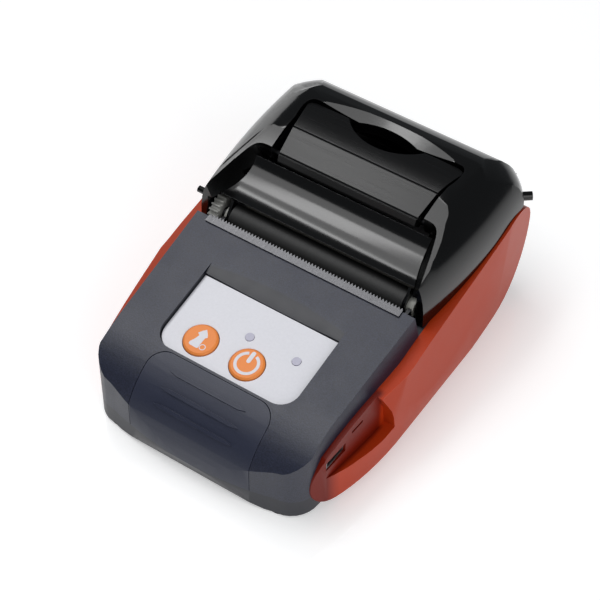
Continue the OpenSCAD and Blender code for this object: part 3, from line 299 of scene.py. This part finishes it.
# %% Streak group
def streak_group():
    tree = bpy.data.node_groups.new("streaks", "ShaderNodeTree")
    socket(tree, "Squeeze", "NodeSocketVector", True, (60.0, 3000.0, 3000.0))
    socket(tree, "Roughness", "NodeSocketFloat", True, 0.3)
    socket(tree, "Streaks", "NodeSocketFloat", True, 0.1)
    socket(tree, "Depth", "NodeSocketFloat", True, 0.1)
    socket(tree, "Roughness", "NodeSocketFloat", False)
    socket(tree, "Normal", "NodeSocketVector", False)
    n, link = tree.nodes, tree.links.new
    given, out = n.new("NodeGroupInput"), n.new("NodeGroupOutput")
    place, squeeze = n.new("ShaderNodeTexCoord"), n.new("ShaderNodeVectorMath")
    squeeze.operation = "MULTIPLY"
    link(place.outputs["Object"], squeeze.inputs[0])
    link(given.outputs["Squeeze"], squeeze.inputs[1])
    lines = n.new("ShaderNodeTexNoise")
    lines.inputs["Scale"].default_value = 1
    lines.inputs["Detail"].default_value = 3
    link(squeeze.outputs[0], lines.inputs["Vector"])
    share = maths(tree, "SUBTRACT", lines.outputs["Fac"], 0.5)
    share = maths(tree, "MULTIPLY", share, given.outputs["Streaks"])
    rougher = maths(tree, "ADD", share, given.outputs["Roughness"])
    link(rougher, out.inputs["Roughness"])
    bump = n.new("ShaderNodeBump")
    bump.inputs["Distance"].default_value = 0.00002
    link(given.outputs["Depth"], bump.inputs["Strength"])
    link(lines.outputs["Fac"], bump.inputs["Height"])
    link(bump.outputs["Normal"], out.inputs["Normal"])
    return tree


streaks = streak_group()
print("streak group:", len(streaks.nodes), "nodes")

# %% [markdown]
# Groups only work out what changes over a surface. The Principled shader stays in the material, so
# its fixed numbers, such as the clear coat and how much it shines, can be read straight off it.


# %% Starting a material
def shader_of(name, metal=0.0, coat=0.0, shine=0.5):
    """A new material and its shader, with the numbers that never vary over the surface."""
    material = bpy.data.materials.new(name)
    material.use_nodes = True
    shader = material.node_tree.nodes["Principled BSDF"]
    shader.inputs["Metallic"].default_value = metal
    shader.inputs["Coat Weight"].default_value = coat
    shader.inputs["Coat Roughness"].default_value = 0.04
    shader.inputs["Specular IOR Level"].default_value = shine
    return material, shader


def place_group(material, tree, values):
    """Put a group in a material and set its named inputs."""
    node = material.node_tree.nodes.new("ShaderNodeGroup")
    node.node_tree = tree
    for key, value in values.items():
        node.inputs[key].default_value = (*value, 1) if key.endswith("olour") else value
    return node


print("materials start from shader_of and place_group")


# %% [markdown]
# A moulded part is the grain group with the edge wear group after it. The worn colour is a paler
# version of the part's own, because rubbing dulls a plastic but does not dye it.


# %% A moulded finish
def moulded(name, colour, roughness, depth=0.25, per_metre=3000, mottle=0.08, wear=0.35, coat=0.0,
            speckle=0.1, shine=0.5):
    """Moulded plastic or rubber: grain first, then wear on the edges."""
    material, shader = shader_of(name, coat=coat, shine=shine)
    link = material.node_tree.links.new
    skin = place_group(material, grain, {
        "Colour": colour, "Grain per metre": per_metre, "Depth": depth,
        "Roughness": roughness, "Mottle": mottle, "Speckle": speckle,
    })
    worn = tuple(min(1, 1.6 * c + 0.03) for c in colour)
    wear_node = place_group(material, edge_wear, {"Worn colour": worn, "Amount": wear})
    link(skin.outputs["Colour"], wear_node.inputs["Colour"])
    link(wear_node.outputs["Colour"], shader.inputs["Base Color"])
    link(skin.outputs["Roughness"], shader.inputs["Roughness"])
    link(skin.outputs["Normal"], shader.inputs["Normal"])
    return material


# %% [markdown]
# Metal parts use the streak group in place of the edge wear. The colour of a metal is the colour
# of its reflection, so the same grain group, at a coarse scale, only makes it slightly patchy.


# %% A metal finish
def metal(name, colour, roughness, squeeze=(60, 3000, 3000), amount=0.25, depth=0.15):
    """Rolled, drawn or ground metal: streaks run along the axis that is squeezed least."""
    material, shader = shader_of(name, metal=1.0)
    link = material.node_tree.links.new
    tint = place_group(material, grain, {"Colour": colour, "Grain per metre": 900, "Mottle": 0.12})
    lines = place_group(material, streaks, {
        "Squeeze": squeeze, "Roughness": roughness, "Streaks": amount, "Depth": depth,
    })
    link(tint.outputs["Colour"], shader.inputs["Base Color"])
    link(lines.outputs["Roughness"], shader.inputs["Roughness"])
    link(lines.outputs["Normal"], shader.inputs["Normal"])
    return material


# %% [markdown]
# The case is slate blue-grey with a speckled satin skin, darker on the base and bluer on the
# rubbery nose grip. The orange sides have a finer grain and little sheen, so they keep their
# colour at a glancing angle. These colours are the bare plastic's and the lamps add the rest;
# the two hollows below get painted shade on top.

# %% Case finishes
finish = {
    "base_plastic": moulded("base_plastic", (0.012, 0.013, 0.021), 0.45),
    "slate_plastic": moulded(
        "slate_plastic", (0.014, 0.017, 0.035), 0.42, depth=0.7, mottle=0.12, speckle=2.2),
    "grip_rubber": moulded("grip_rubber", (0.018, 0.022, 0.044), 0.45, depth=0.45, speckle=0.5),
    "orange_plastic": moulded("orange_plastic", (0.46, 0.040, 0.006), 0.36, depth=0.15, shine=0.16),
    "button_orange": moulded(
        "button_orange", (0.88, 0.27, 0.06), 0.42, depth=0.12, wear=0.2, shine=0.3),
    "bin_black": moulded("bin_black", (0.014, 0.014, 0.016), 0.5),
    "bush_plastic": moulded("bush_plastic", (0.35, 0.35, 0.32), 0.4),
    "gear_white": moulded("gear_white", (0.30, 0.30, 0.28), 0.38, depth=0.1, mottle=0.2),
    "chip_black": moulded("chip_black", (0.012, 0.012, 0.013), 0.45, depth=0.5, per_metre=6000),
    "foot_rubber": moulded("foot_rubber", (0.015, 0.015, 0.015), 0.8, depth=0.6, per_metre=2000),
    "ceramic": moulded("ceramic", (0.62, 0.60, 0.52), 0.15, depth=0.03, mottle=0.04, wear=0.0),
    "light_white": moulded("light_white", (0.75, 0.75, 0.65), 0.2, depth=0.03, wear=0.0),
    "lens_clear": moulded(
        "lens_clear", (0.40, 0.39, 0.50), 0.16, depth=0.05, wear=0.0, coat=0.5),
}
print(len(finish), "moulded finishes")

# %% [markdown]
# Two places on the case get painted shade, a darker colour for the shade that falls in them:
# the ramp and walls of the label's recess get a darker slate, and the hollow round the charging
# socket a deeper red. Each is found by where it lies: how far a point is below the deck, or
# inside the panel's face.


# %% Painted shade in hollows
def depth_below(material, origin, outward, near, far):
    """A mask that runs from 0 to 1 as a point goes below a plane, in the object's own metres."""
    n, link = material.node_tree.nodes, material.node_tree.links.new
    place = n.new("ShaderNodeTexCoord")
    offset, along = n.new("ShaderNodeVectorMath"), n.new("ShaderNodeVectorMath")
    offset.operation, along.operation = "SUBTRACT", "DOT_PRODUCT"
    offset.inputs[1].default_value = [v * MM for v in origin]
    along.inputs[1].default_value = outward
    link(place.outputs["Object"], offset.inputs[0])
    link(offset.outputs[0], along.inputs[0])
    return ramp(material.node_tree, along.outputs["Value"], -near * MM, -far * MM)


def paint_shade(material, masks, colour):
    """Mix a colour of painted shade in where all the masks are 1."""
    tree = material.node_tree
    both = masks[0]
    for mask in masks[1:]:
        both = maths(tree, "MULTIPLY", both, mask)
    base = tree.nodes["Principled BSDF"].inputs["Base Color"]
    tree.links.new(mix_colours(tree, both, base.links[0].from_socket, colour), base)


tilt = math.radians(10)  # the deck's slope
label_bed = (0, -26.1, 24.86)  # middle of the recess's floor
recess_depth, recess_half_width, recess_front = 1.9, 20.6, -36.6
deck_normal = (0, -math.sin(tilt), math.cos(tilt))
deck_point = [p + recess_depth * d for p, d in zip(label_bed, deck_normal)]
case = finish["slate_plastic"]
# painted shade: the recess's ramp and walls get a darker slate in place of the shade that falls there
paint_shade(case, [
    depth_below(case, deck_point, deck_normal, 0.15, 0.3),
    depth_below(case, (recess_half_width, 0, 0), (1, 0, 0), 0, 0.1),
    depth_below(case, (-recess_half_width, 0, 0), (-1, 0, 0), 0, 0.1),
    depth_below(case, (0, recess_front, 0), (0, -1, 0), 0, 0.1),
], (0.008, 0.009, 0.016))
side = finish["orange_plastic"]
lean = math.radians(-2.8)  # the hollow's floor turns in towards the nose
hollow_floor, hollow_rear, right_side = (33.1, -47, 0), (0, -18, 0), (30, 0, 0)
# painted shade: a deeper red in the socket hollow stands in for the shade that falls in it
paint_shade(side, [
    depth_below(side, hollow_floor, (math.cos(lean), math.sin(lean), 0), -1.3, -0.2),
    depth_below(side, hollow_rear, (0, 1, 0), 0, 1.5),
    depth_below(side, right_side, (-1, 0, 0), 0, 0.1),
], (0.17, 0.010, 0.003))
print("recess and socket hollow darkened")

# %% [markdown]
# The lid is high-gloss black with a hard clear look, the lever and the frame a shade softer. Wiping
# has left faint streaks across the lid. The paper guide is the same plastic as the lid, and the
# roller is rubber ground round and round, so its streaks run about its axis.


# %% Black finishes
def polished(name, colour, roughness, squeeze, amount, depth, shine=0.5):
    """Smooth black plastic or rubber: streaks in its gloss and grey wear on its edges."""
    material, shader = shader_of(name, shine=shine)
    link = material.node_tree.links.new
    tint = place_group(material, grain, {"Colour": colour, "Grain per metre": 700, "Mottle": 0.15})
    wear_node = place_group(material, edge_wear, {
        "Worn colour": (0.05, 0.05, 0.053), "Amount": 0.3,
    })
    wipes = place_group(material, streaks, {
        "Squeeze": squeeze, "Roughness": roughness, "Streaks": amount, "Depth": depth,
    })
    link(tint.outputs["Colour"], wear_node.inputs["Colour"])
    link(wear_node.outputs["Colour"], shader.inputs["Base Color"])
    link(wipes.outputs["Roughness"], shader.inputs["Roughness"])
    link(wipes.outputs["Normal"], shader.inputs["Normal"])
    return material


finish["gloss_black"] = polished(
    "gloss_black", (0.0015, 0.0015, 0.0016), 0.13, (90, 700, 700), 0.06, 0.02)
finish["lever_black"] = polished(
    "lever_black", (0.003, 0.003, 0.0032), 0.26, (60, 2500, 2500), 0.1, 0.1, 0.32)
finish["roller_rubber"] = polished(
    "roller_rubber", (0.006, 0.006, 0.006), 0.55, (5000, 60, 60), 0.2, 0.3)
finish["screw_black"] = metal("screw_black", (0.05, 0.05, 0.055), 0.35)
print("gloss, lever, roller and screw finishes made")

# %% [markdown]
# Metals follow how they were made: the socket and the motor are wrapped in rolled tin plate, the
# tear bar, the printer's frame and the pins are darker steel, ground along or across, and the heat
# sink is extruded aluminium with coarse lines.

# %% Metals
finish["tin_plate"] = metal("tin_plate", (0.25, 0.25, 0.255), 0.38, amount=0.3, depth=0.25)
finish["steel"] = metal("steel", (0.09, 0.09, 0.095), 0.3, (4000, 80, 80))
finish["gilt"] = metal("gilt", (0.83, 0.60, 0.25), 0.2, (2000, 2000, 90))
finish["aluminium"] = metal("aluminium", (0.65, 0.66, 0.68), 0.42, (40, 1200, 1200), 0.3, 0.4)
finish["brass"] = metal("brass", (0.75, 0.52, 0.20), 0.3, (3000, 90, 90))
print("metals made")

# %% [markdown]
# The circuit boards are green lacquer over copper. Where a track runs, the lacquer is a little
# lighter. A brick pattern with thin joints makes tracks that turn corners, which is enough for
# boards that are only seen through the paper slot or with the lid open.


# %% Boards, battery, ribbon and label
def tracked(name, ground, line, per_metre, width, roughness, squash=1.0):
    """A flat film with lines in it: circuit tracks, a ribbon's wires or a wrapper's folds."""
    material, shader = shader_of(name, coat=0.3)
    n, link = material.node_tree.nodes, material.node_tree.links.new
    place, bricks = n.new("ShaderNodeTexCoord"), n.new("ShaderNodeTexBrick")
    bricks.squash = squash
    bricks.inputs["Scale"].default_value = per_metre
    bricks.inputs["Mortar Size"].default_value = width
    bricks.inputs["Color1"].default_value = bricks.inputs["Color2"].default_value = (*ground, 1)
    bricks.inputs["Mortar"].default_value = (*line, 1)
    link(place.outputs["Object"], bricks.inputs["Vector"])
    skin = place_group(material, grain, {"Roughness": roughness, "Mottle": 0.2, "Depth": 0.1})
    link(bricks.outputs["Color"], skin.inputs["Colour"])
    link(skin.outputs["Colour"], shader.inputs["Base Color"])
    link(skin.outputs["Roughness"], shader.inputs["Roughness"])
    raised = n.new("ShaderNodeBump")
    raised.inputs["Distance"].default_value = 0.00003
    raised.inputs["Strength"].default_value = 0.4
    link(bricks.outputs["Fac"], raised.inputs["Height"])
    link(skin.outputs["Normal"], raised.inputs["Normal"])
    link(raised.outputs["Normal"], shader.inputs["Normal"])
    return material


finish["board_green"] = tracked(
    "board_green", (0.012, 0.085, 0.042), (0.03, 0.16, 0.07), 420, 0.06, 0.3)
finish["ribbon_film"] = tracked(
    "ribbon_film", (0.42, 0.16, 0.03), (0.6, 0.3, 0.08), 900, 0.1, 0.25, 0.1)
finish["battery_wrap"] = tracked(
    "battery_wrap", (0.03, 0.07, 0.22), (0.05, 0.11, 0.3), 30, 0.03, 0.3)
finish["label_film"] = moulded(
    "label_film", (0.66, 0.66, 0.71), 0.3, depth=0.06, per_metre=1500, mottle=0.02, wear=0.0, coat=0.2)
print("boards, ribbon, battery and label finishes made")

# %% [markdown]
# The record of the solid model names a material slot for each part, so parts that are cast from
# the same stuff share one finish. Each solid's own colour is dropped and its slot's finish put on.

# %% Give every solid its finish
slot_of = {part["node"]: part["material_slot"] for part in frame["record"]["subparts"]}
for name, node in nodes.items():
    node.data.materials.clear()
    node.data.materials.append(finish[slot_of[name]])
print(len(nodes), "solids in", len(finish), "finishes")

# %% [markdown]
# The solid model has sharp edges, but moulded plastic never has: a corner of a few tenths of a
# millimetre catches a thin line of light. Modifiers round the edges without touching the solid.
# Weld joins its triangles, Decimate's dissolve makes flat faces whole again, and Bevel rounds them.


# %% Rounded edges
def soften(name, width, angle=25, segments=3):
    """Round one solid's edges by a width in millimetres, with modifiers only."""
    node = nodes[name]
    weld = node.modifiers.new("one_skin", "WELD")
    weld.merge_threshold = 0.000002
    flat = node.modifiers.new("flat_faces", "DECIMATE")
    flat.decimate_type = "DISSOLVE"
    flat.angle_limit = math.radians(0.5)
    bevel = node.modifiers.new("rounded", "BEVEL")
    bevel.width = width * MM
    bevel.segments = segments
    bevel.limit_method = "ANGLE"
    bevel.angle_limit = math.radians(angle)
    bevel.use_clamp_overlap = True
    normal = node.modifiers.new("smooth", "WEIGHTED_NORMAL")
    normal.keep_sharp = False
    for face in node.data.polygons:
        face.use_smooth = True


edge_widths = {
    "top_shell": 0.35, "base_shell": 0.3, "nose_grip": 0.3, "side_panel_left": 0.7,
    "side_panel_right": 0.5, "cover_shell": 0.35, "release_lever": 0.4, "paper_guide": 0.3,
    "label_plate": 0.08, "feed_button": 0.3, "power_button": 0.3, "platen_gear": 0.08,
}
for name, width in edge_widths.items():
    soften(name, width)
print(len(edge_widths), "solids have rounded edges")

# %% [markdown]
# Two pale signs are printed on the round buttons: an arrow that rises from a small roll for feed,
# and the usual ring and bar for power. Ink stands a few hundredths of a millimetre proud, so each
# is a thin plate cut from an outline, tilted with the deck, which rides on its button.


# %% Printed signs
def ink_plate(name, outlines, centre, body):
    """Outlines in millimetres on the deck's slope become thin raised plates on a button."""
    top, sunk, thick = 1.2, 0.01, 0.04
    mesh = bmesh.new()
    for outline in outlines:
        lower = [mesh.verts.new((x, s, top - sunk)) for x, s in outline]
        upper = [mesh.verts.new((x, s, top + thick)) for x, s in outline]
        mesh.faces.new(upper)
        mesh.faces.new(lower[::-1])
        for i in range(len(outline)):
            j = (i + 1) % len(outline)
            mesh.faces.new((lower[i], lower[j], upper[j], upper[i]))
    place = Matrix.Scale(MM, 4) @ Matrix.Translation(label_bed) @ Matrix.Rotation(tilt, 4, "X")
    mesh.transform(place @ Matrix.Translation((*centre, 0)))
    bmesh.ops.recalc_face_normals(mesh, faces=mesh.faces)
    data = bpy.data.meshes.new(name)
    mesh.to_mesh(data)
    mesh.free()
    piece = bpy.data.objects.new(name, data)
    bpy.context.scene.collection.objects.link(piece)
    data.materials.append(finish["label_film"])
    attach(piece, body)
    print(name, "has", len(data.polygons), "faces")


def bow(radius, width, start, end, steps=40, middle=(0, 0)):
    """A flat curved band between two angles in degrees, counted from the deck's upward line."""
    turn = [math.radians(start + (end - start) * i / steps) for i in range(steps + 1)]
    outer = [(radius + width / 2, a) for a in turn]
    inner = [(radius - width / 2, a) for a in reversed(turn)]
    return [(middle[0] + r * math.sin(a), middle[1] + r * math.cos(a)) for r, a in outer + inner]


def pill(width, low, high):
    """An upright bar with round ends."""
    r = width / 2
    turn = [math.pi * i / 8 for i in range(9)]
    return [(r * math.cos(a), high - r + r * math.sin(a)) for a in turn] + [
        (-r * math.cos(a), low + r - r * math.sin(a)) for a in turn
    ]


arrow = [
    (-0.1, 3.0), (-0.95, 2.1), (-1.55, 1.2), (-0.85, 0.75), (-1.25, -0.5), (-1.95, -1.8),
    (-1.9, -2.35), (-1.55, -2.6), (0.6, -2.65), (0.85, -2.4), (0.8, -1.2), (0.85, 0.2),
    (0.9, 0.75), (1.35, 1.1), (0.9, 1.9),
]
roll_centre = (1.75, -1.75)
roll = [bow(0.75, 0.22, start, start + 180, 20, roll_centre) for start in (0, 180)]
feed_centre, power_centre = (-9.9, -5.4), (3.9, -5.4)
ink_plate("feed_sign", [arrow, *roll], feed_centre, "feed_key")
ink_plate("power_sign", [bow(2.9, 0.8, 22, 338), pill(1.1, 0.2, 3.7)], power_centre, "power_key")
